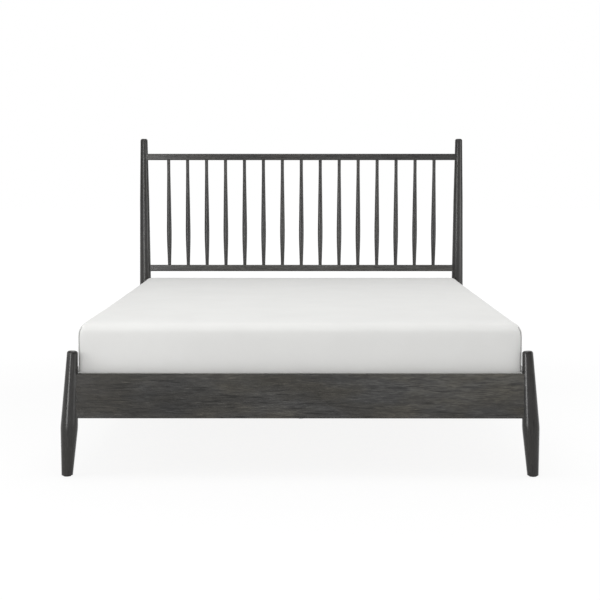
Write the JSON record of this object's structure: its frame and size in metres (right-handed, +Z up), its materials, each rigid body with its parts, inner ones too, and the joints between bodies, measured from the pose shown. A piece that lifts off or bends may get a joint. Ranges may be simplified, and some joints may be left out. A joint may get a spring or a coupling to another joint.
{
  "type": "platform bed",
  "caption": "Low platform bed with turned posts, splayed at the foot, a spindle headboard, a slatted base on cleats and a centre beam, and a loose mattress.",
  "frame": {"origin": "on the floor, under the middle of the whole bed's bounding box", "axes": "+X to the right for someone who stands at the foot and faces the headboard, +Y from the foot to the headboard, +Z up"},
  "size_m": [1.6394, 2.1454, 1.196],
  "materials": {
    "stained_wood": "satin charcoal stain, open grain",
    "pale_wood": "planed, unfinished",
    "zinc_steel": "zinc plated",
    "black_plastic": "matte",
    "webbing": "woven tape",
    "white_ticking": "plain stretch knit"
  },
  "bodies": {
    "bed_frame": {"barrel_nuts": "zinc_steel", "beam_hanger_foot": "zinc_steel", "beam_hanger_head": "zinc_steel", "bracket_bolts": "zinc_steel", "centre_beam": "pale_wood", "centre_leg": "pale_wood", "centre_leg_bolt": "zinc_steel", "corner_bracket_left": "zinc_steel", "corner_bracket_right": "zinc_steel", "foot_post_left": "stained_wood", "foot_post_right": "stained_wood", "footboard_rail": "stained_wood", "hanger_screws": "zinc_steel", "headboard_base_rail": "stained_wood", "headboard_bolts": "zinc_steel", "headboard_post_left": "stained_wood", "headboard_post_right": "stained_wood", "headboard_spindle_01": "stained_wood", "headboard_spindle_02": "stained_wood", "headboard_spindle_03": "stained_wood", "headboard_spindle_04": "stained_wood", "headboard_spindle_05": "stained_wood", "headboard_spindle_06": "stained_wood", "headboard_spindle_07": "stained_wood", "headboard_spindle_08": "stained_wood", "headboard_spindle_09": "stained_wood", "headboard_spindle_10": "stained_wood", "headboard_spindle_11": "stained_wood", "headboard_spindle_12": "stained_wood", "headboard_spindle_13": "stained_wood", "headboard_spindle_14": "stained_wood", "headboard_spindle_15": "stained_wood", "headboard_spindle_rail": "stained_wood", "headboard_top_rail": "stained_wood", "leg_insert": "zinc_steel", "post_glides": "black_plastic", "side_cleat_left": "pale_wood", "side_cleat_right": "pale_wood", "side_rail_left": "stained_wood", "side_rail_right": "stained_wood", "slat_01": "pale_wood", "slat_02": "pale_wood", "slat_03": "pale_wood", "slat_04": "pale_wood", "slat_05": "pale_wood", "slat_06": "pale_wood", "slat_07": "pale_wood", "slat_08": "pale_wood", "slat_09": "pale_wood", "slat_10": "pale_wood", "slat_11": "pale_wood", "slat_12": "pale_wood", "slat_13": "pale_wood", "slat_tape_left": "webbing", "slat_tape_right": "webbing", "wood_screws": "zinc_steel"},
    "mattress": {"mattress": "white_ticking"},
    "centre_foot": {"levelling_foot": "black_plastic"}
  },
  "joints": [
    {"name": "mattress_lift", "type": "slide", "parent": "bed_frame", "child": "mattress", "axis": [0, 0, 1], "range_m": [0, 0.35]},
    {"name": "levelling_foot_screw", "type": "slide", "parent": "bed_frame", "child": "centre_foot", "axis": [0, 0, -1], "range_m": [0, 0.015]}
  ]
}
